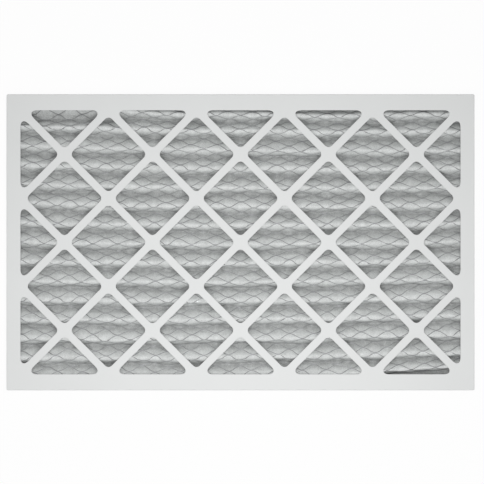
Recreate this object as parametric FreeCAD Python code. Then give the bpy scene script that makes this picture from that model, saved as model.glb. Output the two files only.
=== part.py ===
import FreeCAD, Part
import os
from math import acos, atan2, ceil, cos, floor, hypot, pi, radians, sin, sqrt, tan

Vector = FreeCAD.Vector

# Pleated paper air filter for a slot in an air handler. All sizes are in millimetres.
# It lies flat: X runs along the long side, Y along the short side and Z through the depth. The face
# with the metal mesh looks up. The origin is the centre of the back face.

# Outer size
length = 622.3
width = 393.7
depth = 19.05

# Frame: two trays folded from die-cut paperboard, the back one nested in the front one
board = 0.7
fold_radius = 0.3  # inside of a creased fold
glue_line = 0.1  # film of glue between two layers of board
tab_length = 32.0  # corner tab, glued behind the end wall
tab_taper = 4.0  # cut from both corners of a tab's free end
tab_gap = 0.5  # from a tab's edges to the folds of the panel

# Windows, cut through the panels of both trays
rim_end = 18.65
rim_side = 21.35
lattice_pitch = 117.0  # between two crossings of the struts, along X and along Y
strut_width = 10.1
window_corner = 6.35
facet_angle = 30.0  # round corners of windows and pleats turn in flat steps of about this many degrees

# Media: one sheet of filter paper, pleated along X
pleat_pitch = 25.0
media_thickness = 1.2
media_fold_radius = 0.8  # outside of a fold
media_end_gap = 0.3  # from the cut edges to the corner tabs
media_side_gap = 0.2  # from the first and last flank to the side walls

# Support mesh: expanded metal, folded with the media on its upper side
mesh_long = 32.6  # long way of a diamond, along X
mesh_short = 17.0  # short way of a diamond, measured in the flat sheet
strand_width = 0.8
strand_gauge = 0.35
mesh_edge_gap = 2.0  # from the mesh's trimmed edges to those of the media

# What follows from the sizes above
bend = board + fold_radius  # outside radius of a fold in the board
lap = board + glue_line  # from one layer of board to the next
back_length = length - 4 * lap  # inside the end walls and the tabs of the front tray
back_width = width - 2 * lap
back_depth = depth - lap
window_x = length / 2 - rim_end
window_y = width / 2 - rim_side
pack_length = back_length - 2 * (lap + board + media_end_gap)
pack_width = back_width - 2 * (board + media_side_gap)
pack_depth = depth - 2 * board
pleats = floor(pack_width / pleat_pitch)
half_pitch = pleat_pitch / 2

# A flank's angle: the media, both layers of mesh and the rounded fold just fill the depth between the panels
stack = media_thickness + 2 * strand_gauge
fold_room = pack_depth - media_fold_radius
flank = acos((stack - media_fold_radius) / hypot(fold_room, half_pitch)) - atan2(half_pitch, fold_room)
media_rise = media_thickness / cos(flank)
layer_rise = strand_gauge / cos(flank)
valley_z = board - media_fold_radius * (1 / cos(flank) - 1)


def rounded(corners, radii):
    """The corners of a flat outline, each turned on its own radius in equal steps."""
    points = []
    for i, corner in enumerate(corners):
        if not radii[i]:
            points.append(corner)
            continue
        back = (corners[i - 1] - corner).normalize()
        ahead = (corners[(i + 1) % len(corners)] - corner).normalize()
        half = back.getAngle(ahead) / 2
        centre = corner + (back + ahead).normalize() * (radii[i] / sin(half))
        first = corner + back * (radii[i] / tan(half)) - centre
        last = corner + ahead * (radii[i] / tan(half)) - centre
        turn = pi - 2 * half
        steps = max(1, round(turn / radians(facet_angle)))
        for step in range(steps + 1):
            done = turn * step / steps
            points.append(centre + first * (sin(turn - done) / sin(turn)) + last * (sin(done) / sin(turn)))
    return points


def face(points):
    """A flat face through the points in their order."""
    return Part.Face(Part.makePolygon(points + points[:1]))


def flap(start, out, turn, reach, along):
    """Board that leaves a sheet's outer face at start, folds from out to turn and runs straight for reach."""
    centre = start + turn * bend
    crest = (out - turn) * (1 / sqrt(2))
    tip = centre + out * bend + turn * reach
    inner = centre + out * fold_radius
    edges = [
        Part.Arc(start, centre + crest * bend, centre + out * bend).toShape(),
        Part.makeLine(centre + out * bend, tip),
        Part.makeLine(tip, tip - out * board),
        Part.makeLine(tip - out * board, inner),
        Part.Arc(inner, centre + crest * fold_radius, start + turn * board).toShape(),
        Part.makeLine(start + turn * board, start),
    ]
    return Part.Face(Part.Wire(edges)).extrude(along)


def clipped(corners, room):
    """The part of a convex outline where room(corner) isn't negative."""
    kept = []
    for here, there in zip(corners, corners[1:] + corners[:1]):
        near = round(room(here), 6)
        far = round(room(there), 6)
        if near >= 0:
            kept.append(here)
        if near * far < 0:
            kept.append(here + (there - here) * (near / (near - far)))
    return kept


def window_radius(corners):
    """The corner radius of a window, or as much of it as the window's sides have room for."""
    radius = window_corner
    count = len(corners)
    slopes = []
    for i, corner in enumerate(corners):
        half = (corners[i - 1] - corner).getAngle(corners[(i + 1) % count] - corner) / 2
        slopes.append(1 / tan(half))
    for i, corner in enumerate(corners):
        side = corner.distanceToPoint(corners[(i + 1) % count])
        radius = min(radius, 0.98 * side / (slopes[i] + slopes[(i + 1) % count]))
    return radius


def window_outlines():
    """The corners of every window: diamonds between the struts, cut off at the rims."""
    half = lattice_pitch / 2 - strut_width / sqrt(2)
    reach = ceil((window_x + window_y) / lattice_pitch)
    for i in range(-reach, reach + 1):
        for j in range(-reach, reach + 1):
            centre = Vector((i + j + 1) * lattice_pitch / 2, (i - j) * lattice_pitch / 2, 0)
            corners = [centre + Vector(half, 0, 0), centre + Vector(0, half, 0)]
            corners += [centre - Vector(half, 0, 0), centre - Vector(0, half, 0)]
            for room in (
                lambda p: window_x - p.x,
                lambda p: window_x + p.x,
                lambda p: window_y - p.y,
                lambda p: window_y + p.y,
            ):
                corners = clipped(corners, room)
            if len(corners) > 2 and window_radius(corners) > board:
                yield corners


def panel(panel_x, panel_y, top):
    """The flat face of a tray with its windows, panel_x and panel_y from the centre to the folds."""
    blank = Part.makeBox(2 * panel_x, 2 * panel_y, board, Vector(-panel_x, -panel_y, top - board))
    windows = []
    for corners in window_outlines():
        window = face(rounded(corners, [window_radius(corners)] * len(corners)))
        window.translate(Vector(0, 0, top - board))
        windows.append(window.extrude(Vector(0, 0, board)))
    return blank.cut(Part.makeCompound(windows))


def corner_tab(start, out, turn, height):
    """A glue tab: it folds round a corner from a side wall's end and tapers to its free end."""
    tab = flap(start, out, turn, tab_length, Vector(0, 0, height))
    tip = start + turn * (bend + tab_length) + out * bend
    for foot, up in ((0, 1), (height, -1)):
        corner = tip + Vector(0, 0, foot)
        taper = face([corner, corner - turn * tab_taper, corner + Vector(0, 0, up * tab_taper)])
        tab = tab.cut(taper.extrude(out * -board))
    return tab


def tray(tray_length, tray_width, height):
    """A tray folded from one sheet: the panel on top, four walls down to z = 0 and four corner tabs."""
    panel_x = tray_length / 2 - bend
    panel_y = tray_width / 2 - bend
    side_x = panel_x - lap  # the side walls stop short, for the tabs to pass behind the end walls
    drop = height - bend
    down = Vector(0, 0, -1)
    pieces = []
    for sign in (-1, 1):
        x_out = Vector(sign, 0, 0)
        y_out = Vector(0, sign, 0)
        end_start = Vector(sign * panel_x, -panel_y, height)
        side_start = Vector(-side_x, sign * panel_y, height)
        pieces.append(flap(end_start, x_out, down, drop, Vector(0, 2 * panel_y, 0)))
        pieces.append(flap(side_start, y_out, down, drop, Vector(2 * side_x, 0, 0)))
        for side in (-1, 1):
            tab_start = Vector(sign * side_x, side * tray_width / 2, 0)
            pieces.append(corner_tab(tab_start, x_out, Vector(0, -side, 0), drop - tab_gap))
    return panel(panel_x, panel_y, height).fuse(pieces).removeSplitter()


def front_frame():
    """The outer tray, with its lattice over the mesh."""
    return tray(length, width, depth)


def back_frame():
    """The inner tray, turned over, with its lattice under the media."""
    inner = tray(back_length, back_width, back_depth)
    inner.rotate(Vector(0, 0, back_depth / 2), Vector(1, 0, 0), 180)
    return inner


def fold_rows():
    """The Y of every fold, valleys and ridges in turn, with the sheet's two edges."""
    rows = [(i - pleats) * half_pitch for i in range(2 * pleats + 1)]
    spare = pack_width / 2 + rows[0]
    if spare > board:
        rows = [-pack_width / 2] + rows + [pack_width / 2]
    return rows


def height_at(y):
    """The underside of the media at y, between a valley on the back panel and the next ridge."""
    from_valley = abs((y / half_pitch + pleats + 1) % 2 - 1)
    return valley_z + from_valley * half_pitch * tan(flank)


def pleated_media():
    """The sheet's section, folded to and fro, with its outer folds rounded, drawn out along the pleats."""
    rows = fold_rows()
    start = -pack_length / 2
    under = [Vector(start, y, height_at(y)) for y in rows]
    over = [point + Vector(0, 0, media_rise) for point in under]
    middle = valley_z + half_pitch * tan(flank) / 2
    under_radii = []
    over_radii = []
    for y, point in zip(rows, under):
        at_edge = y in (rows[0], rows[-1])
        is_ridge = point.z > middle
        under_radii.append(0 if at_edge or is_ridge else media_fold_radius)
        over_radii.append(media_fold_radius if is_ridge and not at_edge else 0)
    section = face(rounded(under + over[::-1], under_radii + over_radii[::-1]))
    return section.extrude(Vector(pack_length, 0, 0))


def strand(place, lean, layer):
    """One strand of the mesh: straight seen from above, bent with the pleats, and a low triangle in section."""
    per_row = lean * mesh_long / (mesh_short * cos(flank))
    across = strand_width * hypot(1, mesh_long / mesh_short)  # the strand's width along X
    room_x = (pack_length - across) / 2 - mesh_edge_gap
    room_y = pack_width / 2 - mesh_edge_gap
    limits = sorted(((-room_x - place) / per_row, (room_x - place) / per_row))
    low = round(max(limits[0], -room_y), 3)
    high = round(min(limits[1], room_y), 3)
    if high - low < pleat_pitch:
        return None
    rings = []
    for y in [low] + [row for row in fold_rows() if low < row < high] + [high]:
        foot = Vector(place + y * per_row, y, height_at(y) + media_rise + layer * layer_rise)
        side = Vector(across / 2, 0, 0)
        rings.append([foot - side, foot + side, foot + Vector(0, 0, layer_rise)])
    faces = [face(rings[0]), face(rings[-1])]
    for ring, after in zip(rings, rings[1:]):
        for i in range(3):
            faces.append(face([ring[i - 1], ring[i], after[i], after[i - 1]]))
    return Part.Solid(Part.Shell(faces))


def support_mesh():
    """Strands that lean both ways, one way lying on the other, and cross at the corners of the diamonds."""
    reach = ceil((pack_length + pack_width * mesh_long / (mesh_short * cos(flank))) / 2 / mesh_long)
    strands = []
    for layer, lean in enumerate((1, -1)):
        for i in range(-reach, reach + 1):
            strands.append(strand(i * mesh_long, lean, layer))
    return Part.makeCompound([piece for piece in strands if piece])


os.makedirs("parts", exist_ok=True)
front_frame().exportStep("parts/front_frame.step")
back_frame().exportStep("parts/back_frame.step")
pleated_media().exportStep("parts/pleated_media.step")
support_mesh().exportStep("parts/support_mesh.step")
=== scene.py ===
from math import pi, radians, sqrt, tan

import bmesh
import bpy
import numpy as np
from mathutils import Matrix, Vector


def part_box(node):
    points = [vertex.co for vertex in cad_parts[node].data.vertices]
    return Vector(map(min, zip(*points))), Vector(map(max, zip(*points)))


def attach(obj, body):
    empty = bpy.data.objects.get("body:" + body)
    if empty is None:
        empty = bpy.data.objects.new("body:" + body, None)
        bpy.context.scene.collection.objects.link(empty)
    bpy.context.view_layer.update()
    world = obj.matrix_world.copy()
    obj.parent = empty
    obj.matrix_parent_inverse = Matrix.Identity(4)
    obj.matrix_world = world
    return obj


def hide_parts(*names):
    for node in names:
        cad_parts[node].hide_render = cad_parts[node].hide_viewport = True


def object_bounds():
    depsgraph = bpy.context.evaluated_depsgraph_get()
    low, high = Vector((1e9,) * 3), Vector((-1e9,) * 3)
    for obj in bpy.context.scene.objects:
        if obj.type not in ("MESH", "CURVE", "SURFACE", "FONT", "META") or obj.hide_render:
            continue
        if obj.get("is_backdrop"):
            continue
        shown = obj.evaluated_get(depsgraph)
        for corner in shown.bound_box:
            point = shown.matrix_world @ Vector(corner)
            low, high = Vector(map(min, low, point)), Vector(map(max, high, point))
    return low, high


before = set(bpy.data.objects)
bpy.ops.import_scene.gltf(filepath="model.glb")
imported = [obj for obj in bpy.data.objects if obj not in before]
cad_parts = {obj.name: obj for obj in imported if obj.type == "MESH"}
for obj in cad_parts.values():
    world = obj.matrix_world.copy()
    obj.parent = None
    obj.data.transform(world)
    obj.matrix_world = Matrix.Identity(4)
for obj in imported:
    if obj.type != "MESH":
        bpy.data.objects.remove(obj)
cad_low, cad_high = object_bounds()

# The back tray: one die-cut sheet of white paperboard, creased and folded up into four walls, with a glue
# tab round each corner. Its flat face is a lattice of diamond windows. The filter lies on that face.

board = 0.0007  # thickness
crease = 0.0003  # inside radius of a fold
bend = board + crease  # outside radius of a fold
fold_steps = 6  # flat steps that a fold turns in
glue_line = 0.0001
lap = board + glue_line  # from one layer of board to the next
tab_length = 0.032
tab_taper = 0.004  # cut from both corners of a tab's free end
tab_gap = 0.0005  # from a tab's edge to the fold of the panel
die_edge = 0.00012  # rounding that the die leaves on a cut edge
cut_slot = 1  # the finish of the cut edges, after that of the faces

rim_end = 0.01865
rim_side = 0.02135
lattice_pitch = 0.117
strut_width = 0.0101
window_corner = 0.00635  # radius
corner_steps = 8
window_half = lattice_pitch / 2 - strut_width / sqrt(2)  # half a diamond, from corner to corner
window_x = cad_high.x - rim_end
window_y = cad_high.y - rim_side
die_foot = -0.01  # the cutting die stands under the back tray,
die_height = 0.04  # and reaches over the front one
tiny = 1e-6  # lengths that differ by less are the same


def alone(piece):
    """Leaves only this piece selected, and makes it active."""
    for other in bpy.context.selected_objects:
        other.select_set(False)
    piece.select_set(True)
    bpy.context.view_layer.objects.active = piece
    return piece


def new_piece(name):
    """Names the primitive that has just been added, and leaves only it selected."""
    piece = alone(bpy.context.object)
    piece.name = name
    piece.data.name = name
    return piece


def pick(piece, kind, test):
    """In edit mode, selects each vertex, edge or face whose every corner passes the test."""
    bpy.ops.mesh.select_mode(type=kind)
    bpy.ops.mesh.select_all(action="DESELECT")
    work = bmesh.from_edit_mesh(piece.data)
    items = {"VERT": work.verts, "EDGE": work.edges, "FACE": work.faces}[kind]
    for item in items:
        corners = [item] if kind == "VERT" else item.verts
        if all(test(corner.co) for corner in corners):
            item.select_set(True)
    work.select_flush_mode()
    bmesh.update_edit_mesh(piece.data)


def near(a, b):
    """Whether two lengths are the same."""
    return abs(a - b) < tiny


def finish_with(piece, kind, **settings):
    """Adds a modifier and applies it. The piece stays selected alone."""
    alone(piece)
    modifier = piece.modifiers.new(kind.lower(), kind)
    for name, value in settings.items():
        setattr(modifier, name, value)
    bpy.ops.object.modifier_apply(modifier=modifier.name)


def paint(piece, *finishes):
    """Gives a piece its finishes, in the order of its slots."""
    for finish in finishes:
        piece.data.materials.append(finish.material)


def window_places():
    """Centres of the windows, on the crossings of the lattice that lie between the rims or on them."""
    reach = round((window_x + window_y) / lattice_pitch) + 1
    for i in range(-reach, reach + 1):
        for j in range(-reach, reach + 1):
            x = (i + j + 1) * lattice_pitch / 2
            y = (i - j) * lattice_pitch / 2
            if abs(x) < window_x + tiny and abs(y) < window_y + tiny:
                yield x, y


def in_window(x, y):
    """A test for places that lie in the whole diamond round x, y or on its edge."""
    return lambda p: abs(p.x - x) + abs(p.y - y) < window_half + tiny


def round_corners(die, inside):
    """Rounds each corner of the window that passes the test to the same radius, whatever its angle."""
    work = bmesh.from_edit_mesh(die.data)
    face = next(f for f in work.faces if all(inside(v.co) for v in f.verts))
    corners = [v.co.copy() for v in face.verts]
    setbacks = {}
    for i, corner in enumerate(corners):
        half = (corners[i - 1] - corner).angle(corners[(i + 1) % len(corners)] - corner) / 2
        setbacks.setdefault(round(window_corner / tan(half), 6), []).append(corner)
    for setback, here in setbacks.items():
        pick(die, "VERT", lambda p: any((p - corner).length < tiny for corner in here))
        bpy.ops.mesh.bevel(offset_type="OFFSET", offset=setback, segments=corner_steps, profile=0.5,
                           affect="VERTICES")


def window_die():
    """The cutting die: a prism for each window, tall enough to pass through both trays."""
    # it starts as an empty piece, to which the windows are added one by one
    bpy.ops.mesh.primitive_circle_add(vertices=4, radius=window_half, fill_type="NGON")
    die = new_piece("window_die")
    bpy.ops.object.mode_set(mode="EDIT")
    bpy.ops.mesh.select_all(action="SELECT")
    bpy.ops.mesh.delete(type="VERT")
    for x, y in window_places():
        inside = in_window(x, y)
        bpy.ops.mesh.primitive_circle_add(
            vertices=4, radius=window_half, fill_type="NGON", location=(x, y, die_foot))
        for side, past in (((1, 0, 0), x - window_x), ((-1, 0, 0), -x - window_x),
                           ((0, 1, 0), y - window_y), ((0, -1, 0), -y - window_y)):
            if past + window_half > tiny:
                rim = (side[0] * window_x, side[1] * window_y, 0)
                pick(die, "FACE", inside)
                bpy.ops.mesh.bisect(plane_co=rim, plane_no=side, clear_outer=True)
        round_corners(die, inside)
    bpy.ops.mesh.select_mode(type="FACE")
    bpy.ops.mesh.select_all(action="SELECT")
    bpy.ops.mesh.extrude_region_move(TRANSFORM_OT_translate={"value": (0, 0, die_height)})
    bpy.ops.mesh.select_all(action="SELECT")
    bpy.ops.mesh.normals_make_consistent(inside=False)
    bpy.ops.object.mode_set(mode="OBJECT")
    return die


def fold_out(centre, axis, turn, *moves):
    """Folds board on from the selected edges, round an axis, and then runs it on by each of the moves."""
    # spin counts its turns the other way round
    bpy.ops.mesh.spin(steps=fold_steps, angle=radians(-turn), center=centre, axis=axis)
    for move in moves:
        bpy.ops.mesh.extrude_region_move(TRANSFORM_OT_translate={"value": move})


def tray(name, length, width, height):
    """A tray folded from one sheet, with its face up at height and its walls down to z = 0."""
    panel_x = length / 2 - bend
    panel_y = width / 2 - bend
    side_x = panel_x - lap  # the side walls stop short, for the tabs to pass behind the end walls
    drop = height - bend
    bpy.ops.mesh.primitive_plane_add(size=2)
    piece = new_piece(name)
    bpy.ops.object.mode_set(mode="EDIT")
    bpy.ops.mesh.select_all(action="SELECT")
    bpy.ops.transform.resize(value=(panel_x, panel_y, 1))
    bpy.ops.transform.translate(value=(0, 0, height))
    for x in (-side_x, side_x):
        bpy.ops.mesh.select_all(action="SELECT")
        bpy.ops.mesh.bisect(plane_co=(x, 0, 0), plane_no=(1, 0, 0))
    for sign in (-1, 1):
        pick(piece, "EDGE", lambda p: near(p.z, height) and near(p.x, sign * panel_x))
        fold_out((sign * panel_x, 0, drop), (0, 1, 0), 90 * sign, (0, 0, -drop))
        pick(piece, "EDGE", lambda p: near(p.z, height) and near(p.y, sign * panel_y)
             and abs(p.x) < side_x + tiny)
        fold_out((0, sign * panel_y, drop), (1, 0, 0), -90 * sign, (0, 0, -tab_gap), (0, 0, tab_gap - drop))
    tab_top = drop - tab_gap
    taper = (1, 1, 1 - 2 * tab_taper / tab_top)
    for sign in (-1, 1):
        for end in (-1, 1):
            pick(piece, "EDGE", lambda p: near(p.x, end * side_x) and near(p.y, sign * width / 2)
                 and p.z < tab_top + tiny)
            fold_out((end * side_x, sign * panel_y, 0), (0, 0, 1), -90 * end * sign,
                     (0, sign * (tab_taper - tab_length), 0), (0, -sign * tab_taper, 0))
            bpy.ops.transform.resize(value=taper, center_override=(0, 0, tab_top / 2))
    bpy.ops.mesh.select_all(action="SELECT")
    bpy.ops.mesh.remove_doubles(threshold=tiny)
    bpy.ops.mesh.normals_make_consistent(inside=False)
    top = next(f for f in bmesh.from_edit_mesh(piece.data).faces if near(f.calc_center_median().z, height))
    if top.normal.z < 0:
        bpy.ops.mesh.flip_normals()
    bpy.ops.object.mode_set(mode="OBJECT")
    paint(piece, white_board, cut_board)
    finish_with(piece, "SOLIDIFY", thickness=board, offset=-1, material_offset_rim=cut_slot)
    finish_with(piece, "BOOLEAN", operation="DIFFERENCE", object=die, solver="EXACT")
    return piece


def soften(piece):
    """Rounds the cut edges a little, and shades the folds smooth and the faces flat."""
    finish_with(piece, "BEVEL", width=die_edge, segments=2, limit_method="ANGLE", angle_limit=radians(50))
    bpy.ops.object.shade_smooth_by_angle(angle=radians(20))
    finish_with(piece, "WEIGHTED_NORMAL", keep_sharp=True)


class Value:
    """An output of a node, so that shader maths is written as Python."""

    def __init__(self, finish, socket):
        self.finish = finish
        self.socket = socket

    def math(self, operation, *terms):
        """A Math node on these values or numbers."""
        return self.finish.node("ShaderNodeMath", {"operation": operation}, terms)

    def __add__(self, other):
        return self.math("ADD", self, other)

    def __sub__(self, other):
        return self.math("SUBTRACT", self, other)

    def __rsub__(self, other):
        return self.math("SUBTRACT", other, self)

    def __mul__(self, other):
        return self.math("MULTIPLY", self, other)

    __radd__ = __add__
    __rmul__ = __mul__


class Finish:
    """A material, put together node by node on its Principled shader."""

    def __init__(self, name):
        self.material = bpy.data.materials.new(name)
        self.material.use_nodes = True
        self.tree = self.material.node_tree
        self.shader = self.tree.nodes["Principled BSDF"]
        self.place = self.node("ShaderNodeTexCoord", output="Object")

    def node(self, kind, settings=(), sockets=(), output=0):
        """Adds a node: its settings first, then the values or links of its sockets, by name or in order."""
        made = self.tree.nodes.new(kind)
        for name, value in dict(settings).items():
            setattr(made, name, value)
        given = sockets.items() if isinstance(sockets, dict) else enumerate(sockets)
        for name, value in given:
            self.feed(made.inputs[name], value)
        return Value(self, made.outputs[output])

    def feed(self, socket, value):
        """Links a value to a socket, or sets the socket to a number or colour."""
        if isinstance(value, Value):
            self.tree.links.new(value.socket, socket)
        else:
            socket.default_value = value

    def set(self, **sockets):
        """Sets sockets of the Principled shader, with _ for a space in a name."""
        for name, value in sockets.items():
            self.feed(self.shader.inputs[name.replace("_", " ")], value)

    def noise(self, size, detail=3.0, rough=0.55, stretch=(1, 1, 1)):
        """Noise from 0 to 1 with spots of about this size in metres."""
        scale = tuple(1 / (size * part) for part in stretch)
        spread = self.node("ShaderNodeMapping", {}, {"Vector": self.place, "Scale": scale})
        wanted = {"Vector": spread, "Scale": 1.0, "Detail": detail, "Roughness": rough}
        return self.node("ShaderNodeTexNoise", {}, wanted)

    def blend(self, share, first, second):
        """A colour that goes from the first to the second as share goes from 0 to 1."""
        wanted = {0: share, 6: first, 7: second}
        return self.node("ShaderNodeMix", {"data_type": "RGBA"}, wanted, 2)

    def bump(self, height, distance):
        """A fine unevenness of the surface, up to this distance in metres for a height of 1."""
        wanted = {"Height": height, "Distance": distance, "Strength": 1.0}
        self.set(Normal=self.node("ShaderNodeBump", {}, wanted))


def grey(value, tint=(1.0, 1.0, 1.0)):
    """A colour of this lightness, tinted a little."""
    return (value * tint[0], value * tint[1], value * tint[2], 1.0)


board_tint = (0.985, 1.0, 0.995)
white_board = Finish("white_board")
cloud = white_board.noise(0.06, 2.0)
fibre = white_board.noise(0.0012, 4.0, 0.6)
ripple = white_board.noise(0.009, 2.0)
white_board.set(
    Base_Color=white_board.blend(cloud * 0.6 + fibre * 0.4, grey(0.755, board_tint), grey(0.80, board_tint)),
    Roughness=fibre * 0.16 + 0.42, Specular_IOR_Level=0.35)
white_board.bump(fibre * 0.7 + ripple * 2.0, 0.00004)

cut_board = Finish("cut_board")
layers = cut_board.noise(0.0009, 4.0, 0.7, (1, 1, 0.2))
cut_board.set(
    Base_Color=cut_board.blend(layers, grey(0.50, (1.0, 0.985, 0.95)), grey(0.66, (1.0, 0.99, 0.97))),
    Roughness=layers * 0.1 + 0.8, Specular_IOR_Level=0.2)
cut_board.bump(layers, 0.00008)

die = window_die()
paint(die, white_board, cut_board)
for side in die.data.polygons:
    side.material_index = cut_slot

inner_low, inner_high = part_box("back_frame")
inner_size = inner_high - inner_low
back_tray = tray("back_tray", *inner_size)
soften(back_tray)
bpy.ops.object.mode_set(mode="EDIT")
bpy.ops.mesh.select_all(action="SELECT")
bpy.ops.transform.rotate(value=pi, orient_axis="X", center_override=(0, 0, inner_size.z / 2))
bpy.ops.object.mode_set(mode="OBJECT")
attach(back_tray, "root")
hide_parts("back_frame")


# The media: one sheet of grey-white filter paper, soft and a little fluffy, folded to and fro into fifteen
# pleats. The mesh is glued to its upper side before folding, so the paper stands up in a low pillow in each
# diamond. The pleats lean a little towards low Y and fan out towards the left end.

paper = 0.0009  # thickness of the sheet
pleats = 15
folds = 2 * pleats + 1  # valleys and ridges in turn, from the first valley to the last
pleat_pitch = 0.025
pleat_length = 0.039  # of one pleat, along the sheet
ridge_share = 0.43  # of a pleat's length, from a valley up to the ridge
ridge_place = 0.33  # of a pleat's pitch
valley_lift = 0.00125  # middle of the sheet, over the floor
ridge_lift = 0.0156
valley_crease = 0.98  # how sharply the sheet turns, where 1 has no rounding at all
ridge_crease = 0.985
ridge_back_crease = 0.96  # on the far side of the ridge
flap = 0.3  # the sheet's length past its first and last valley, in pleats
flap_rise = 0.0105  # its cut edges stand this much over the valleys,
flap_slope = 1.2  # or this share of their way to the wall, where that is less

fan_reach = 0.266  # from the middle to either side, where the next ones are measured
fan_pitch = 1.006  # the pitch in the middle, as a share of the plain one
fan_spread = 0.0218  # added to that share on the left side, and taken off it on the right
fan_drop = 0.0028  # the pleats lie this far towards low Y in the middle,
fan_bow = 0.0024  # and less far by this on both sides

valley_wander = 0.0010  # how far a valley strays in Y, in three waves along X
ridge_wander = 0.00055
wander_waves = ((0.21, 1.0), (0.093, 0.7), (0.041, 0.4))  # length and share of each
fold_slack = 0.0003  # how far a whole fold is out of its place, as a rule
left_start = 0.11  # from the middle to where the left end's own folds begin,
left_run = 0.10  # and on from there to where they are full
right_start = 0.13
right_run = 0.15

diamond_long = 0.0326
diamond_short = 0.017
strand_width = 0.0008
sway_size = 0.0011  # how far the stretched mesh strays along X
sway_waves = ((0.171, 0.060, 1.0), (0.083, -0.047, 0.0))  # lengths along X and along the sheet, and phase
slip_size = 0.0006  # and along the sheet
slip_waves = ((0.112, 0.031, 2.0), (0.057, -0.083, 0.0))
pillow = 0.0009  # height of a full one
ridge_pillow = 0.0008  # more of it on a ridge,
ridge_width = 0.0038  # this far to each side
pillow_curve = 0.8  # the lower this is, the flatter a pillow's top
valley_width = 0.004  # a pillow is held down this close to a valley,
valley_hold = 0.15  # to this share
cells = (200, 60)  # diamonds that have a fullness of their own, along the sheet and along X

rng = np.random.default_rng(25)
fold_phase = rng.uniform(0, 2 * pi, (folds, len(wander_waves)))
fold_shift = rng.normal(0, fold_slack, folds)
fold_shift[-3:] = (-0.0026, -0.0036, -0.0085)  # the last pleat is pushed together, off the wall,
right_pull = np.zeros(folds)
right_pull[-2:] = (0.0016, 0.0025)  # though a little less at the right end,
right_pull[:3] = (0.0105, 0.0075, 0.0010)  # where the first one is pushed together too
left_pull = np.zeros(folds)
left_pull[-3:] = (-0.0019, 0.0059, 0.0050)  # at the left end the last one is spread, towards the wall,
left_press = 0.45  # and pressed down by this share
fullness = rng.uniform(0.4, 1.15, cells)

media_low, media_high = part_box("pleated_media")


def at_left(x):
    """0 over most of the length, up to 1 near the left end."""
    return np.clip((-left_start - x) / left_run, 0, 1)


def at_right(x):
    """0 over most of the length, up to 1 near the right end."""
    return np.clip((x - right_start) / right_run, 0, 1)


def fold_wander(fold, x):
    """How far a fold strays in Y from its straight line. Valleys stray more than ridges."""
    phase = fold_phase[fold]
    size = np.where(fold % 2 == 0, valley_wander, ridge_wander)
    waves = sum(share * np.sin(2 * pi * x / length + phase[..., i])
                for i, (length, share) in enumerate(wander_waves))
    pulled_right = right_pull[fold] * at_right(x)
    pulled_left = left_pull[fold] * at_left(x)
    return size * waves + fold_shift[fold] + pulled_right + pulled_left


def fanned(y, x):
    """The pleats' places, spread towards the left end and drawn in towards the right."""
    along = x / fan_reach
    return y * (fan_pitch - fan_spread * along) - fan_drop + fan_bow * along ** 2


def rounded_wave(turn):
    """A zigzag from -1 at a valley to 1 at a ridge, rounded at both, most of all behind the ridge."""
    swing = np.sin(2 * pi * (turn - 0.25))
    sharp = np.where(swing < 0, valley_crease, np.where(turn < 0.5, ridge_crease, ridge_back_crease))
    return np.arcsin(sharp * swing) / np.arcsin(sharp)


def sheet_line(x, s):
    """Y and Z of the middle of the folded sheet at x, and s pleats along the sheet from its first valley."""
    inner = np.clip(s, 0, pleats - 1e-9)  # the last valley still belongs to the last pleat
    pleat = np.floor(inner).astype(int)
    part = inner - pleat
    rising = part < ridge_share
    climb = np.where(rising, part / ridge_share, (part - ridge_share) / (1 - ridge_share))
    turn = np.where(rising, 0.5 * climb, 0.5 + 0.5 * climb)
    across = np.where(rising, ridge_place * climb, ridge_place + (1 - ridge_place) * climb)
    lean = pleat_pitch * (0.5 - ridge_place)
    y = fanned((pleat + across - pleats / 2) * pleat_pitch + lean, x)
    fold = 2 * pleat + np.where(rising, 0, 1)
    y = y + fold_wander(fold, x) * (1 - climb) + fold_wander(np.minimum(fold + 1, folds - 1), x) * climb
    y = np.clip(y, media_low.y + paper, media_high.y - paper)
    height = (ridge_lift - valley_lift) / 2
    pressed = left_press * (s > pleats - 1) * at_left(x)
    z = valley_lift + height * (1 + rounded_wave(turn)) * (1 - pressed)
    flaps = ((-1, np.maximum(-s, 0), y - media_low.y - paper / 2),
             (1, np.maximum(s - pleats, 0), media_high.y - paper / 2 - y))
    for out, past, room in flaps:
        y = y + out * room * past / flap
        z = z + np.minimum(flap_rise, room * flap_slope) * past / flap
    return y, z


def get_spots(piece):
    """Where a piece's vertices are, as rows of X, Y and Z."""
    spots = np.empty(len(piece.data.vertices) * 3)
    piece.data.vertices.foreach_get("co", spots)
    return spots.reshape(-1, 3)


def set_spots(piece, spots):
    """Puts a piece's vertices at these rows of X, Y and Z."""
    piece.data.vertices.foreach_set("co", spots.ravel())
    piece.data.update()


def fold_up(piece):
    """Folds a piece that was modelled flat: X stays, Y runs along the sheet and Z stands off its middle."""
    spots = get_spots(piece)
    x = spots[:, 0]
    s = spots[:, 1] / pleat_length
    step = 0.012  # to each side, for the sheet's slope
    y, z = sheet_line(x, s)
    y_ahead, z_ahead = sheet_line(x, s + step)
    y_behind, z_behind = sheet_line(x, s - step)
    run = y_ahead - y_behind
    rise = z_ahead - z_behind
    norm = np.hypot(run, rise)
    spots[:, 1] = y - spots[:, 2] * rise / norm
    spots[:, 2] = z + spots[:, 2] * run / norm
    set_spots(piece, spots)


def swells(x, along, waves):
    """The sum of waves that run across the flat sheet, each with its two lengths and its phase."""
    return sum(np.sin(2 * pi * (x / long + along / short) + phase) for long, short, phase in waves)


def stretched(x, along):
    """Where a place on the flat sheet ends up, as the mesh wasn't stretched quite evenly."""
    return x + sway_size * swells(x, along, sway_waves), along + slip_size * swells(x, along, slip_waves)


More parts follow.
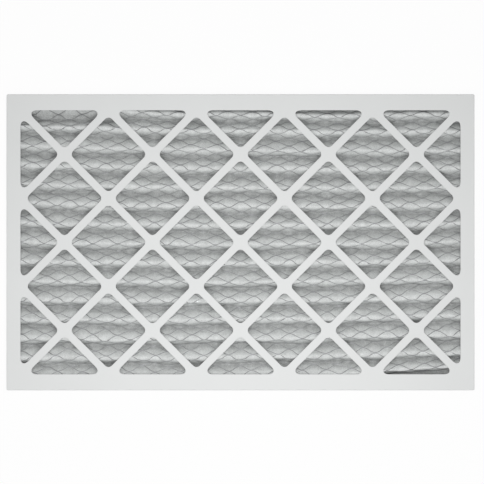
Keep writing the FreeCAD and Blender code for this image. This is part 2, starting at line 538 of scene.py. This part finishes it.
def strand_line(number, x):
    """The place along the flat sheet of one wavy strand of the mesh, in rows of half a diamond."""
    swing = np.cos(2 * pi * x / diamond_long)
    reach = 0.5 * (1 - 2 * strand_width / diamond_short)
    return number + 0.5 - np.where(number % 2 == 0, reach, -reach) * swing


strand_row = diamond_short / 2  # between two strands, on average
first_row = -2  # the sheet starts before its first valley, and is trimmed to size below
row_count = 76
row_cuts = 4  # rows of faces between two strands
column_count = 152
diamond_cuts = 8  # columns of faces in a diamond
bpy.ops.mesh.primitive_grid_add(x_subdivisions=column_count, y_subdivisions=row_count * row_cuts, size=1)
media = new_piece("filter_media")
flat = get_spots(media)
x = flat[:, 0] * column_count * diamond_long / diamond_cuts
row = np.round((flat[:, 1] + 0.5) * row_count * row_cuts) / row_cuts + first_row
number = np.floor(row).astype(int)
share = row - number
low = strand_line(number, x)
high = strand_line(number + 1, x)
along = (low + (high - low) * share) * strand_row
column = np.floor(x / diamond_long + np.where(number % 2 == 0, 0.5, 0.0)).astype(int)
puff = fullness[number % cells[0], column % cells[1]]
s = along / pleat_length
free = np.clip(np.abs(s - np.round(s)) * pleat_length / valley_width, valley_hold, 1)
crest = np.exp(-((s % 1 - ridge_share) * pleat_length / ridge_width) ** 2)
swell = (pillow * free + ridge_pillow * crest) * puff
swell = swell * np.sin(pi * share) ** pillow_curve * ((high - low) / 2) ** pillow_curve
flat[:, 0], flat[:, 1] = stretched(x, along)
flat[:, 2] = paper / 2 + swell
set_spots(media, flat)

seam = 0.00003  # slivers that the trimming leaves are merged below this width
bpy.ops.object.mode_set(mode="EDIT")
for edge, out in (((media_low.x, 0, 0), (-1, 0, 0)),
                  ((media_high.x, 0, 0), (1, 0, 0)),
                  ((0, -flap * pleat_length, 0), (0, -1, 0)),
                  ((0, (pleats + flap) * pleat_length, 0), (0, 1, 0))):
    bpy.ops.mesh.select_all(action="SELECT")
    bpy.ops.mesh.bisect(plane_co=edge, plane_no=out, clear_outer=True)
bpy.ops.mesh.select_all(action="SELECT")
bpy.ops.mesh.remove_doubles(threshold=seam)
bpy.ops.object.mode_set(mode="OBJECT")
finish_with(media, "SOLIDIFY", thickness=paper, offset=-1)
fold_up(media)
bpy.ops.object.shade_smooth()

paper_tint = (0.975, 1.0, 0.99)
painted_shade_low = 0.002  # painted shade: the paper is painted darkest up to this height, down in the pleats' valleys, and palest from this one up, towards the ridges
painted_shade_high = 0.0135  # and palest from this one up
filter_paper = Finish("filter_paper")
fluff = filter_paper.noise(0.0011, 4.0, 0.7)
patch = filter_paper.noise(0.006, 3.0)
drift = filter_paper.noise(0.05, 2.0)
# painted shade: by height alone, the paper's colour goes from dark in the valleys to pale on the ridges, in
# place of the shade that falls into the folds
above = filter_paper.node("ShaderNodeSeparateXYZ", {}, [filter_paper.place], "Z")
painted_light_share = filter_paper.node("ShaderNodeMapRange", {"interpolation_type": "SMOOTHSTEP"},
                          [above, painted_shade_low, painted_shade_high, 0.0, 1.0])
filter_paper.set(
    Base_Color=filter_paper.blend(fluff * 1.5 + patch * 0.7 + drift * 0.15 + painted_light_share * 0.62 - 1.03,
                                  grey(0.36, paper_tint), grey(0.86, paper_tint)),
    Roughness=0.95, Specular_IOR_Level=0.1)
filter_paper.bump(fluff + patch * 1.5, 0.00025)
paint(media, filter_paper)
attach(media, "root")
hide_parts("pleated_media")


# The support mesh: one sheet of thin galvanised steel, slit and stretched into diamonds, with a short knuckle
# where two strands meet. It is glued to the media while flat, and pleated with it.

strand_gauge = 0.00035
strand_tilt = 0.0004  # a strand's far edge stands up by this
strand_sink = 0.00004  # into the paper, which bulges up round the strands
strand_steps = 228  # faces along a strand
strand_pairs = int(pleats * pleat_length / diamond_short)  # whole rows of diamonds over all pleats
mesh_margin = 0.003  # from the mesh's ends to those of the media
slope_step = 1e-4  # along X to each side, for a strand's slope


def strand_edge(number, x, upper):
    """Flat places of a strand's edge, square to its own line."""
    middle = strand_line(number, x) * strand_row
    rise = strand_line(number, x + slope_step) - strand_line(number, x - slope_step)
    slope = rise * strand_row / (2 * slope_step)
    half = np.where(upper, 0.5, -0.5) * sqrt(strand_width ** 2 - strand_tilt ** 2)
    return x - half * slope / np.hypot(1, slope), middle + half / np.hypot(1, slope)


bpy.ops.mesh.primitive_grid_add(x_subdivisions=strand_steps, y_subdivisions=1, size=1)
mesh = new_piece("expanded_mesh")
spots = get_spots(mesh)
x = spots[:, 0] * (media_high.x - media_low.x - 2 * mesh_margin)
upper = spots[:, 1] > 0
bpy.ops.object.duplicate()
second = bpy.context.object
for number, strand in enumerate((mesh, second)):
    strand_x, strand_y = strand_edge(number, x, upper)
    set_spots(strand, np.stack([strand_x, strand_y, np.where(upper, strand_tilt, 0)], axis=1))
alone(mesh)
second.select_set(True)
bpy.ops.object.join()
finish_with(mesh, "SOLIDIFY", thickness=strand_gauge, offset=1)
finish_with(mesh, "ARRAY", count=strand_pairs, use_relative_offset=False,
            use_constant_offset=True, constant_offset_displace=(0, diamond_short, 0))
spots = get_spots(mesh)
spots[:, 0], spots[:, 1] = stretched(spots[:, 0], spots[:, 1])
spots[:, 2] += paper / 2 - strand_sink
set_spots(mesh, spots)
fold_up(mesh)
bpy.ops.object.shade_smooth_by_angle(angle=radians(35))

steel_tint = (0.98, 1.0, 1.02)
steel = Finish("galvanised_steel")
spangle = steel.noise(0.002, 3.0, 0.6)
# partly painted shade: a dull steel grey, painted darker than bare galvanised steel to hold the shade in the
# creases beside the strands
steel.set(
    Base_Color=steel.blend(spangle, grey(0.21, steel_tint), grey(0.36, steel_tint)),
    Roughness=spangle * 0.2 + 0.4, Metallic=0.5)
paint(mesh, steel)
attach(mesh, "root")
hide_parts("support_mesh")


# The front tray: the second sheet of board, a little larger, which nests over the first. Its lattice face is
# glued down on the ridges of the mesh.

outer_low, outer_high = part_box("front_frame")
front_tray = tray("front_tray", *(outer_high - outer_low))
soften(front_tray)
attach(front_tray, "root")
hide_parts("front_frame")
bpy.data.objects.remove(die)


# The table that the filter lies on for its picture: a plain pale top in a white room. One large soft lamp
# hangs over it, a little towards low Y, and the camera looks straight down.

table_size = 8
table_glow = 0.95  # the share of plain white in what the camera sees of it
room_light = 0.29
lamp_place = (0, -0.165, 1.08)
lamp_size = 0.8
lamp_power = 8.9
view_middle = (0.0020, 0.0004)
view_width = 0.6434  # at the height of the filter's face
lens = 100
sensor = 36

bpy.ops.mesh.primitive_plane_add(size=table_size)
table = new_piece("table_top")


class Room(Finish):
    """The world round the table, put together in the same way."""

    def __init__(self, name):
        world = bpy.data.worlds.new(name)
        world.use_nodes = True
        bpy.context.scene.world = world
        self.tree = world.node_tree


def looked_at(finish):
    """1 for rays from the camera and for reflections, 0 for those that only light the filter."""
    seen = finish.node("ShaderNodeLightPath", output="Is Camera Ray")
    for other in ("Is Glossy Ray", "Is Transmission Ray"):
        seen = seen.math("MAXIMUM", seen, finish.node("ShaderNodeLightPath", output=other))
    return seen


table_white = Finish("table_white")
table_white.set(Base_Color=grey(0.88), Roughness=0.8, Specular_IOR_Level=0.1)
plain = Value(table_white, table_white.shader.outputs[0])
glow = table_white.node("ShaderNodeEmission", {}, {"Color": grey(1.0), "Strength": 1.0})
shown = table_white.node("ShaderNodeMixShader", {}, [looked_at(table_white) * table_glow, plain, glow])
table_white.feed(table_white.tree.nodes["Material Output"].inputs["Surface"], shown)
paint(table, table_white)
table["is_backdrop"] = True

room = Room("soft_room")
background = room.tree.nodes["Background"]
room.feed(background.inputs["Color"], grey(1.0))
room.feed(background.inputs["Strength"], room_light)
soft = Value(room, background.outputs[0])
white = room.node("ShaderNodeBackground", {}, {"Color": grey(1.0), "Strength": 1.0})
both = room.node("ShaderNodeMixShader", {}, [looked_at(room), soft, white])
room.feed(room.tree.nodes["World Output"].inputs["Surface"], both)

bpy.ops.object.light_add(type="AREA", location=lamp_place)
softbox = bpy.context.object
softbox.name = "softbox"
softbox.data.size = lamp_size
softbox.data.energy = lamp_power

bpy.ops.object.camera_add(location=(*view_middle, cad_high.z + view_width * lens / sensor))
camera = bpy.context.object
camera.data.lens = lens
camera.data.sensor_width = sensor
camera.data.clip_end = 20
bpy.context.scene.camera = camera
bpy.context.scene.view_settings.view_transform = "Standard"

low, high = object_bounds()
